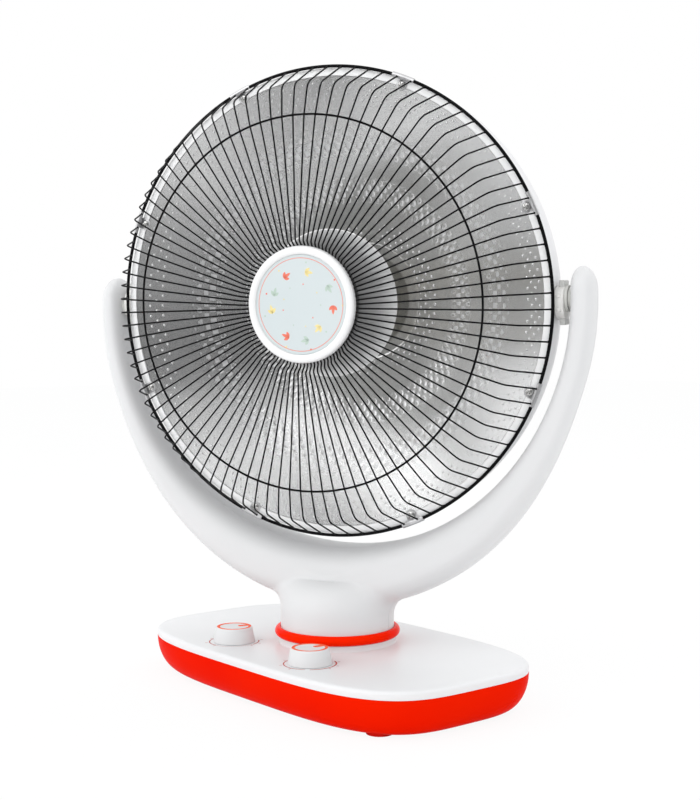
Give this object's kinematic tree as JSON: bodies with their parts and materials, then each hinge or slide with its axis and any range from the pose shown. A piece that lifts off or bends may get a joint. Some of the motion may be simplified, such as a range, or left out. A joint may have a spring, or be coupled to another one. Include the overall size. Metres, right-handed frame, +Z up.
{
  "type": "halogen stand heater",
  "caption": "Round halogen dish heater behind a wire guard, tilting in a crescent yoke that swings on a low rectangular base with dials on top.",
  "frame": {"origin": "on the floor under the centre of the base, 6.4 mm in front of the swivel axis", "axes": "+Z up along the swivel axis, -Y out of the front of the base where the dials are, +X to the right of someone who faces the dials"},
  "size_m": [0.4222, 0.2598, 0.5332],
  "materials": {
    "red_plastic": "gloss",
    "white_plastic": "gloss",
    "ballast_steel": "raw",
    "foot_rubber": "matt",
    "steel": "plain",
    "bearing_steel": "plain",
    "washer_brass": "plain",
    "motor_can": "plain",
    "inner_plastic": "matt",
    "switch_black": "matt",
    "ceramic": "glazed ceramic",
    "spring_steel": "oiled",
    "zinc": "zinc plated",
    "white_paint": "gloss enamel",
    "reflector_aluminium": "bright, embossed",
    "quartz": "clear quartz",
    "hood_steel": "polished",
    "guard_black": "satin black powder coat",
    "printed_disc": "printed, gloss"
  },
  "bodies": {
    "base": {"base_tray": "red_plastic", "base_top_cover": "white_plastic", "ballast_plates": "ballast_steel", "rubber_feet": "foot_rubber", "base_screws": "steel", "swivel_trim_ring": "red_plastic", "swivel_bearing": "bearing_steel", "thrust_washer": "washer_brass", "oscillation_motor": "motor_can", "power_switch": "switch_black", "timer_switch": "motor_can", "terminal_block": "ceramic", "cord_gland": "switch_black", "tip_over_switch": "switch_black"},
    "crank": {"crank_disc": "inner_plastic"},
    "plunger": {"tip_over_plunger": "red_plastic"},
    "power_dial": {"power_knob": "white_plastic", "power_spindle": "washer_brass"},
    "timer_dial": {"timer_knob": "white_plastic", "timer_spindle": "washer_brass"},
    "yoke": {"yoke_front_shell": "white_plastic", "yoke_rear_shell": "white_plastic", "yoke_screws": "steel", "swivel_post": "bearing_steel", "post_retaining_ring": "spring_steel", "drive_lever": "zinc", "tilt_bushes": "inner_plastic"},
    "head": {"rear_housing": "white_paint", "housing_back_cover": "white_plastic", "back_cover_screws": "steel", "reflector": "reflector_aluminium", "reflector_middle": "reflector_aluminium", "reflector_centre": "reflector_aluminium", "rear_lamp_holder": "ceramic", "front_lamp_holder": "ceramic", "halogen_tubes": "quartz", "hood_rod": "zinc", "hood_nut": "zinc", "emitter_hood": "hood_steel", "thermal_cutout": "switch_black", "guard_outer_ring": "guard_black", "guard_middle_ring": "guard_black", "guard_inner_ring": "guard_black", "guard_wires": "guard_black", "guard_wire_returns": "guard_black", "guard_cap": "white_plastic", "cap_disc": "printed_disc", "cap_clamp_plate": "guard_black", "cap_screws": "steel", "guard_clips": "zinc", "clip_screws": "zinc", "pivot_plates": "white_plastic", "pivot_bolts": "steel", "friction_washers": "inner_plastic"}
  },
  "joints": [
    {"name": "swivel", "type": "hinge", "parent": "base", "child": "yoke", "pos_m": [0, 0.0064, 0.05], "axis": [0, 0, 1], "range_deg": [-56.4, 3.6]},
    {"name": "crank_spin", "type": "hinge", "parent": "base", "child": "crank", "pos_m": [0, 0.0564, 0.0155], "axis": [0, 0, 1], "range_deg": [-209.68, 14.32]},
    {"name": "tilt", "type": "hinge", "parent": "yoke", "child": "head", "pos_m": [0.00222, 0.00192, 0.333], "axis": [0.8957, 0.4446, 0], "range_deg": [-23, 10]},
    {"name": "power_turn", "type": "hinge", "parent": "base", "child": "power_dial", "pos_m": [0.054, -0.0654, 0.046], "axis": [0, 0, 1], "range_deg": [-180, 0]},
    {"name": "timer_turn", "type": "hinge", "parent": "base", "child": "timer_dial", "pos_m": [-0.054, -0.0654, 0.046], "axis": [0, 0, 1], "range_deg": [-300, 0]},
    {"name": "plunger_travel", "type": "slide", "parent": "base", "child": "plunger", "axis": [0, 0, 1], "range_m": [-0.0029, 0.001]}
  ],
  "couplings": [
    {"joint": "crank_spin", "follows": "swivel", "ratio": 3.7}
  ]
}
